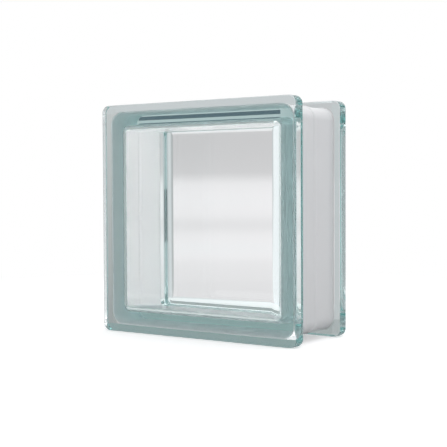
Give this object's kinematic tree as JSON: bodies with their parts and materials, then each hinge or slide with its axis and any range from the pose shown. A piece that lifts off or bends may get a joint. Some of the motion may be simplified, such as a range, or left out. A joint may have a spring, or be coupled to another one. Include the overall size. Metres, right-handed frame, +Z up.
{
  "type": "glass block",
  "caption": "Square hollow clear glass wall block with clear rims round both faces and white painted recessed sides.",
  "frame": {"origin": "centre of the footprint, on the surface that the lower rims stand on", "axes": "+X to the right along the front face, +Y from the front face to the back face, +Z up"},
  "size_m": [0.19, 0.08, 0.19],
  "materials": {
    "glass": "clear pressed glass with a faint blue-green tint",
    "edge_paint": "matte white sprayed edge coating"
  },
  "bodies": {
    "root": {"front_shell": "glass", "back_shell": "glass", "edge_coating": "edge_paint"}
  },
  "joints": []
}
